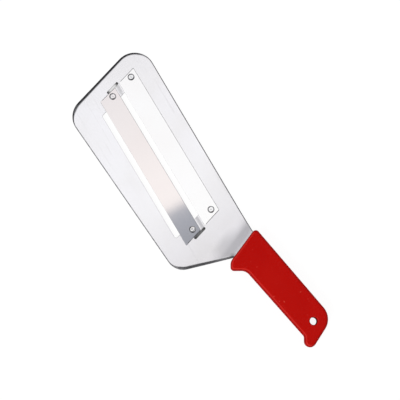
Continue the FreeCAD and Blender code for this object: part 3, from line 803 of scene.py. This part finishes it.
# Radius and height over the blade's top of each corner of the rivet's half section
RIVET_SECTION = [
    (0.0, 1.02), (0.28, 1.1), (0.5, 1.27), (1.2, 1.3), (1.95, 1.27), (2.45, 1.06),
    (2.85, 0.66), (3.05, 0.25), (3.08, 0.0), (1.5, 0.0), (1.5, -2.1), (2.1, -2.12),
    (2.3, -2.4), (2.15, -2.75), (1.7, -2.9), (1.15, -2.86), (0.9, -2.6), (0.85, -1.4),
    (0.0, -1.3),
]
SPINDLE = 10.0
head_seat = PLATE_TOP + BLADE_SHEET
for node, centre in rivet_places.items():
    leaned = node.startswith("front")
    section_mesh = bpy.data.meshes.new(node + "_section")
    corners = [((r - SPINDLE) * MILLIMETRE, -z * MILLIMETRE, 0.0) for r, z in RIVET_SECTION]
    section_mesh.from_pydata(corners, [(i, i + 1) for i in range(len(corners) - 1)], [])
    template = bpy.data.objects.new(node + "_template", section_mesh)
    bpy.context.scene.collection.objects.link(template)
    seat = Vector((centre.x, centre.y, head_seat))
    if leaned:
        pivot = Vector((centre.x, BAR_FRONT, PLATE_TOP))
        flat_seat = Vector((centre.x, front_rivet_y, head_seat))
        seat = pivot + Matrix.Rotation(math.radians(BAR_TILT), 3, "X") @ (flat_seat - pivot)
    modifier = template.modifiers.new("turned rivet", "NODES")
    modifier.node_group = lathe
    for label, value in (
        ("Spindle Radius", SPINDLE * MILLIMETRE),
        ("Corner Round", 0.08 * MILLIMETRE),
        ("Divisions", 48),
        ("Crown Radius", 1.95 * MILLIMETRE),
        ("Head Radius", 2.35 * MILLIMETRE),
        ("Place", (seat + FRAME_SHIFT) * MILLIMETRE),
        ("Lean", (math.radians(BAR_TILT) if leaned else 0.0, 0.0, 0.0)),
        ("Finish", rivet_finish),
    ):
        modifier[socket_id(lathe, label)] = value
    graph = bpy.context.evaluated_depsgraph_get()
    rivet_mesh = bpy.data.meshes.new_from_object(template.evaluated_get(graph))
    bpy.data.objects.remove(template)
    rivet = bpy.data.objects.new(node.replace("blade_rivet", "rivet"), rivet_mesh)
    bpy.context.scene.collection.objects.link(rivet)
    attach(rivet, "root")
    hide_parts(node)


# Handle: red plastic moulded round the tang in a two-part mould. It has a finger
# guard, a butt hook, a hanging hole, a parting line round its middle and faces
# that sank a little as they cooled.
HANDLE_LENGTH = 103.0
FRONT_HALF, BUTT_HALF = 15.45, 14.5
FRONT_LEAN = math.tan(math.radians(HANDLE_FRONT_SLANT))
BUTT_LEAN = math.tan(math.radians(16.3))
GUARD_LIP, GUARD_HEIGHT, GUARD_TOP_RUN, GUARD_FOOT_RUN = 4.7, 10.1, 10.6, 19.3
HOOK_RUN, HOOK_HEIGHT = 8.0, 14.5
HOLE_SETBACK, HOLE_RADIUS = 12.8, 3.3
EDGE_ROUND, HOLE_EDGE_ROUND, FACE_HEM, ROUND_STEPS = 2.6, 0.8, 0.4, 8
SINK_DEPTH, SINK_HALF_WIDTH = 0.16, 12.5
SINK_FRONT_FADE, SINK_BUTT, SINK_BUTT_FADE = 12.0, 92.0, 14.0
GRIP_MESH = 2.5
taper = (FRONT_HALF - BUTT_HALF) / HANDLE_LENGTH
handle_corners = [
    ((FRONT_HALF * FRONT_LEAN, -FRONT_HALF), 3.4),
    ((-(FRONT_HALF + GUARD_LIP) * FRONT_LEAN, FRONT_HALF + GUARD_LIP), 8.0),
    ((-GUARD_TOP_RUN, FRONT_HALF + GUARD_HEIGHT), 3.2),
    ((-GUARD_FOOT_RUN, FRONT_HALF - GUARD_FOOT_RUN * taper), 9.0),
    ((HOOK_RUN - HANDLE_LENGTH, BUTT_HALF + HOOK_RUN * taper), 3.0),
    ((-HANDLE_LENGTH - (BUTT_HALF + HOOK_HEIGHT) * BUTT_LEAN, BUTT_HALF + HOOK_HEIGHT), 5.2),
    ((-HANDLE_LENGTH + BUTT_HALF * BUTT_LEAN, -BUTT_HALF), 15.6),
]


def on_handle(u, v):
    """Plan point given along and across the handle from its front face."""
    return HANDLE_FRONT + tang_along * u + tang_across * v


grip_loop = rounded_loop(
    [(on_handle(*place), radius) for place, radius in handle_corners], GRIP_MESH,
)
hole_centre = on_handle(HOLE_SETBACK - HANDLE_LENGTH, 0.0)
hole_loop = rounded_loop(circle_corners(hole_centre, HOLE_RADIUS)[::-1], 0.6)


def sink(point):
    """How far the face has sunk over the tang, in the thick middle of the grip."""
    along = (point - HANDLE_FRONT).dot(tang_along)
    across = (point - HANDLE_FRONT).dot(tang_across)
    side = max(0.0, 1.0 - (across / SINK_HALF_WIDTH) ** 2)
    front = min(1.0, max(0.0, -along / SINK_FRONT_FADE))
    butt = min(1.0, max(0.0, (along + SINK_BUTT) / SINK_BUTT_FADE))
    return SINK_DEPTH * side * front * butt


def grip_top(point):
    """Height of the grip's upper face at a plan point."""
    return HANDLE_THICKNESS - sink(point)


def grip_bottom(point):
    """Height of the grip's lower face at a plan point."""
    return sink(point)


# Share of the ridge's inset, rise over the middle and rim value, down to the parting line
PARTING_LINE = ((1.0, 0.3, 0.9), (1.0, 0.16, 0.95), (0.0, 0.05, 1.0))
WALL_RIM = 0.9


def moulded_rows(loop, edge_round, draft, ridge, rim_amount):
    """Rows down a moulded wall: rounded edge, slight draft, parting ridge, and back."""
    upper = [(edge_round + FACE_HEM, HANDLE_THICKNESS, 0.0)]
    for step in range(ROUND_STEPS + 1):
        turn = math.radians(90 * step / ROUND_STEPS)
        inset = draft + (edge_round - draft) * (1 - math.sin(turn))
        height = HANDLE_THICKNESS - edge_round * (1 - math.cos(turn))
        upper.append((inset, height, rim_amount + math.sin(turn) * (WALL_RIM - rim_amount)))
    for share, rise, value in PARTING_LINE:
        upper.append((ridge * share, HANDLE_THICKNESS / 2 + rise, value))
    lower = [(inset, HANDLE_THICKNESS - height, value) for inset, height, value in upper]
    normals = inward_normals(loop)
    rows = []
    for inset, height, value in upper + lower[::-1]:
        row = [Vector((*(p + n * inset), height)) for p, n in zip(loop, normals)]
        rows.append((row, [value] * len(loop)))
    return rows


grip_rows = moulded_rows(grip_loop, EDGE_ROUND, draft=0.18, ridge=0.13, rim_amount=0.0)
hole_rows = moulded_rows(hole_loop, HOLE_EDGE_ROUND, draft=0.05, ridge=0.05, rim_amount=0.3)
grip_rings = [[point.xy for point in rows[0][0]] for rows in (grip_rows, hole_rows)]
grip_seeds = [
    on_handle(u * GRIP_MESH, v * GRIP_MESH) for u in range(-49, 7) for v in range(-8, 14)
]
grip_seeds = [p for p in grip_seeds if inside(p, grip_rings) and clear_of(p, grip_rings, 0.8)]
handle = skin("moulded_handle", [grip_rows, hole_rows], grip_seeds, grip_top, grip_bottom)

FACE_RED, SMEARED_RED, HIGHLIGHT_RED = (0.415, 0.0016, 0.0003), (0.44, 0.003, 0.0008), (0.55, 0.02, 0.015)
WALL_SHADE_RED, SPECK_RED, SCRAPED_RED = (0.34, 0.006, 0.005), (0.5, 0.02, 0.015), (0.62, 0.07, 0.045)
handle_finish, tree, shader = new_material("red moulded plastic")
marks = use_group(tree, handling, {"Smear Scale": 26.0, "Speck Scale": 420.0})
smear, speck = marks.outputs["Smear"], marks.outputs["Speck"]
rim = use_group(tree, rim_wear_and_shade, {"Breakup": 0.25}).outputs["Rim"]
# Painted highlight and shade: the arris on the side facing +Y, which the front soft box lights, is
# painted lighter, and the walls below it are painted darker, least on that side
shape = add_node(tree, "ShaderNodeNewGeometry")
facing = add_node(tree, "ShaderNodeSeparateXYZ", {0: shape.outputs["Normal"]})
lit_side = ranged(tree, facing.outputs["Y"], -0.05, 0.15)
arris_highlight = product(tree, ranged(tree, rim, 0.1, 0.3), lit_side)
wall = ranged(tree, scaled_sum(tree, lit_side, -0.25, rim), 0.12, 0.4)
colour = mix_colour(tree, smear, FACE_RED, SMEARED_RED)
for factor, red in ((arris_highlight, HIGHLIGHT_RED), (wall, WALL_SHADE_RED), (speck, SPECK_RED)):
    colour = mix_colour(tree, factor, colour, red)
# Four small knocks on the face, each where a thin flake has been scraped up
ragged = stretched_noise(tree, (1800.0, 1800.0, 1800.0), 2.0, 0.6)
for spot, reach in (
    ((-0.1077, -0.0252, 0.014), (0.0012, 0.0007, 0.01)),
    ((-0.1052, -0.0218, 0.014), (0.0008, 0.0006, 0.01)),
    ((-0.0995, -0.0198, 0.014), (0.0007, 0.001, 0.01)),
    ((-0.1078, -0.0416, 0.014), (0.0006, 0.0012, 0.01)),
):
    torn = add_node(tree, "ShaderNodeMath", {0: away_from(tree, spot, reach), 1: ragged})
    knock = ranged(tree, torn.outputs[0], 1.2, 0.9, 0.0, 0.8)
    colour = mix_colour(tree, knock, colour, SCRAPED_RED)
tree.links.new(colour, shader.inputs["Base Color"])
shader.inputs["Specular IOR Level"].default_value = 0.045
roughness = 0.2
for mark, added in ((smear, 0.06), (speck, 0.25), (wall, 0.8)):
    roughness = scaled_sum(tree, mark, added, roughness)
tree.links.new(roughness, shader.inputs["Roughness"])
moulded = stretched_noise(tree, (1500.0, 1500.0, 1500.0), 3.0, 0.55)
relief = add_node(tree, "ShaderNodeBump", {
    "Strength": 1.0, "Distance": 0.000012, "Height": scaled_sum(tree, speck, -1.5, moulded),
})
tree.links.new(relief.outputs[0], shader.inputs["Normal"])
handle.data.materials.append(handle_finish)
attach(handle, "root")
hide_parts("handle")


# Floor and backdrop: an even white table that shows white to the camera and in
# reflections, and still takes a faint shadow of the cutter.
FLOOR_HALF = 6.0
floor_mesh = bpy.data.meshes.new("floor")
floor_mesh.from_pydata([
    (-FLOOR_HALF, -FLOOR_HALF, 0.0), (FLOOR_HALF, -FLOOR_HALF, 0.0),
    (FLOOR_HALF, FLOOR_HALF, 0.0), (-FLOOR_HALF, FLOOR_HALF, 0.0),
], [], [(0, 1, 2, 3)])
floor = bpy.data.objects.new("floor", floor_mesh)
bpy.context.scene.collection.objects.link(floor)


def seen_directly(tree):
    """1 for camera, glossy and transmission rays, and 0 for the rays of soft light."""
    rays = add_node(tree, "ShaderNodeLightPath")
    either = add_node(tree, "ShaderNodeMath", {
        0: rays.outputs["Is Camera Ray"], 1: rays.outputs["Is Glossy Ray"],
    }, operation="MAXIMUM")
    any_of = add_node(tree, "ShaderNodeMath", {
        0: either.outputs[0], 1: rays.outputs["Is Transmission Ray"],
    }, operation="MAXIMUM")
    return any_of.outputs[0]


floor_finish, tree, shader = new_material("white table")
shader.inputs["Roughness"].default_value = 0.9
shader.inputs["Specular IOR Level"].default_value = 0.0
glow = add_node(tree, "ShaderNodeEmission", {"Color": (1.0, 1.0, 1.0, 1.0), "Strength": 1.05})
# Painted shadow: the table's colour is darkened under the two narrow slots, where little light
# reaches it, most under the heel's
TABLE_WHITE, SLOT_END_LIGHT = 0.88, 0.05
place = own_place(tree)
bright = TABLE_WHITE
for x, light in ((BAR_TIP_X + SLOT_RUN / 2, 0.6), (BAR_HEEL_X - SLOT_RUN / 2, 0.1)):
    middle = Vector((*slid(x, (RAMP_TOP + BAR_FRONT) / 2), 0.0)) + FRAME_SHIFT
    away = add_node(tree, "ShaderNodeVectorMath", {0: place, 1: middle * MILLIMETRE},
                    operation="DISTANCE").outputs["Value"]
    slot_light = ranged(tree, away, 0.003, 0.0055, light, SLOT_END_LIGHT)
    open_light = ranged(tree, away, 0.0075, 0.009, slot_light, 1.0)
    bright = product(tree, open_light, bright)
shaded = mix_colour(tree, bright, (0.0, 0.0, 0.0), (1.0, 1.0, 1.0))
tree.links.new(shaded, shader.inputs["Base Color"])
blended = add_node(tree, "ShaderNodeMixShader", {
    0: product(tree, seen_directly(tree), bright), 1: shader.outputs[0], 2: glow.outputs[0],
})
tree.links.new(blended.outputs[0], tree.nodes["Material Output"].inputs["Surface"])
floor_mesh.materials.append(floor_finish)

world = bpy.data.worlds.new("white room")
bpy.context.scene.world = world
world.use_nodes = True
tree = world.node_tree
soft = tree.nodes["Background"]
soft.inputs["Color"].default_value = (0.98, 0.99, 1.0, 1.0)
soft.inputs["Strength"].default_value = 0.5
white = add_node(tree, "ShaderNodeBackground", {"Color": (1.0, 1.0, 1.0, 1.0), "Strength": 1.0})
room = add_node(tree, "ShaderNodeMixShader", {
    0: seen_directly(tree), 1: soft.outputs[0], 2: white.outputs[0],
})
tree.links.new(room.outputs[0], tree.nodes["World Output"].inputs["Surface"])


# Reflection cards: the grey and black cards and the ceiling round a studio table,
# which steel needs to show its form. They only show in reflections, and neither
# light the cutter nor shade it.
def reflection_card(name, corners, colours):
    """Card seen in gloss alone, its corners in metres, shading along X."""
    mesh = bpy.data.meshes.new(name)
    half = len(corners) // 2
    mesh.from_pydata(corners, [], [
        (i, i + 1, len(corners) - 2 - i, len(corners) - 1 - i) for i in range(half - 1)
    ])
    card = bpy.data.objects.new(name, mesh)
    bpy.context.scene.collection.objects.link(card)
    material = bpy.data.materials.new(name)
    material.use_nodes = True
    tree = material.node_tree
    tree.nodes.remove(tree.nodes["Principled BSDF"])
    apart = add_node(tree, "ShaderNodeSeparateXYZ", {0: own_place(tree)})
    ends = [x for x, _, _ in corners]
    shade = mix_colour(tree, ranged(tree, apart.outputs["X"], min(ends), max(ends)), *colours)
    glow = add_node(tree, "ShaderNodeEmission", {"Color": shade, "Strength": 1.0})
    tree.links.new(glow.outputs[0], tree.nodes["Material Output"].inputs["Surface"])
    mesh.materials.append(material)
    card.visible_camera = False
    card.visible_diffuse = False
    card.visible_shadow = False
    card.visible_transmission = False
    card.visible_volume_scatter = False


CEILING = 1.6
OVER_CUTTER, OVER_REAR, OVER_FRONT = (-0.38, 0.68), (-1.3, -0.38), (0.68, 1.3)
BRIGHT, WHITE = (1.02, 1.02, 1.02), (0.99, 0.99, 1.0)
BLACK, DUSK, DARK_GREY = (0.02, 0.02, 0.02), (0.2, 0.2, 0.21), (0.27, 0.28, 0.31)
# Each ceiling card's name, reach along X and along Y, and shades at its two ends
for name, along, across, shades in (
    ("far", (-3.0, -0.3), OVER_CUTTER, (BLACK, DUSK)),
    ("heel", (-0.3, 0.15), OVER_CUTTER, ((0.98, 0.98, 0.98), BRIGHT)),
    ("tip", (0.15, 0.5), OVER_CUTTER, (BRIGHT, WHITE)),
    ("neck", (0.5, 0.8), OVER_CUTTER, (WHITE, (0.74, 0.74, 0.75))),
    ("end", (0.8, 1.1), OVER_CUTTER, ((0.74, 0.74, 0.75), (0.45, 0.45, 0.47))),
    ("beyond", (1.1, 3.0), OVER_CUTTER, ((0.3, 0.3, 0.31), BLACK)),
    ("warm", (0.207, 1.2), OVER_REAR, ((1.0, 0.93, 0.91), (0.54, 0.56, 0.62))),
    ("grey", (0.05, 0.207), OVER_REAR, (DARK_GREY, (0.42, 0.43, 0.48))),
    ("dark", (-1.2, 0.05), OVER_REAR, ((0.2, 0.2, 0.22), DARK_GREY)),
    ("front", (-1.2, 1.2), OVER_FRONT, ((0.62, 0.62, 0.63), (0.6, 0.6, 0.6))),
):
    reflection_card("ceiling_" + name, [
        (along[0], across[0], CEILING), (along[1], across[0], CEILING),
        (along[1], across[1], CEILING), (along[0], across[1], CEILING),
    ], shades)


WALL_PARTS = 12


def wall_card(name, sector, low, high, distance, colour):
    """Upright curved card round part of the table, its sector in degrees from X."""
    low_edge, high_edge = [], []
    for part in range(WALL_PARTS + 1):
        turn = sector[0] + (sector[1] - sector[0]) * part / WALL_PARTS
        spot = heading(turn) * distance
        low_edge.append((spot.x, spot.y, low))
        high_edge.append((spot.x, spot.y, high))
    reflection_card(name, low_edge + high_edge[::-1], (colour, colour))


wall_card("black_card_tip", (-38.0, 62.0), 0.02, 1.0, 1.5, (0.025, 0.025, 0.03))
wall_card("grey_card_heel", (130.0, 190.0), 0.02, 1.1, 1.5, (0.22, 0.22, 0.225))
wall_card("low_card_rear", (-125.0, -50.0), 0.02, 0.85, 1.7, (0.2, 0.2, 0.21))
wall_card("low_card_front", (70.0, 125.0), 0.02, 0.3, 1.7, (0.4, 0.4, 0.41))


# Soft studio light: two large soft boxes, one behind the cutter and one before it.
# They light its surfaces and don't show in its gloss, where the cards show instead.
def soft_box(name, azimuth, elevation, distance, size, watts):
    """Square area lamp aimed at the middle of the cutter."""
    lamp = bpy.data.lights.new(name, "AREA")
    lamp.shape = "SQUARE"
    lamp.size = size
    lamp.energy = watts
    holder = bpy.data.objects.new(name, lamp)
    holder.visible_glossy = False
    bpy.context.scene.collection.objects.link(holder)
    level = heading(azimuth)
    rise = math.radians(elevation)
    back = Vector((level.x * math.cos(rise), level.y * math.cos(rise), math.sin(rise)))
    holder.location = back * distance
    holder.rotation_euler = back.to_track_quat("Z", "Y").to_euler()


soft_box("soft_box_rear", -75.0, 48.0, 1.6, 1.1, 7.0)
soft_box("soft_box_front", 110.0, 42.0, 1.6, 0.9, 15.0)

# Camera: high over the cutter, a little to the handle's front side, with a long
# lens that flattens the perspective.
camera_data = bpy.data.cameras.new("camera")
camera_data.sensor_width = 36.0
camera_data.lens = 112.5
camera_data.clip_start, camera_data.clip_end = 0.01, 50.0
camera = bpy.data.objects.new("camera", camera_data)
bpy.context.scene.collection.objects.link(camera)
CAMERA_AZIMUTH, CAMERA_ELEVATION = math.radians(239.12), math.radians(82.5)
CAMERA_DISTANCE = 1.1
camera_target = Vector((0.00663, -0.009, 0.00295))
camera_back = Vector((
    math.sin(CAMERA_AZIMUTH) * math.cos(CAMERA_ELEVATION),
    -math.cos(CAMERA_AZIMUTH) * math.cos(CAMERA_ELEVATION),
    math.sin(CAMERA_ELEVATION),
))
camera.location = camera_target + camera_back * CAMERA_DISTANCE
camera.rotation_euler = (-camera_back).to_track_quat("-Z", "Y").to_euler()
bpy.context.scene.camera = camera
bpy.context.scene.view_settings.view_transform = "Standard"
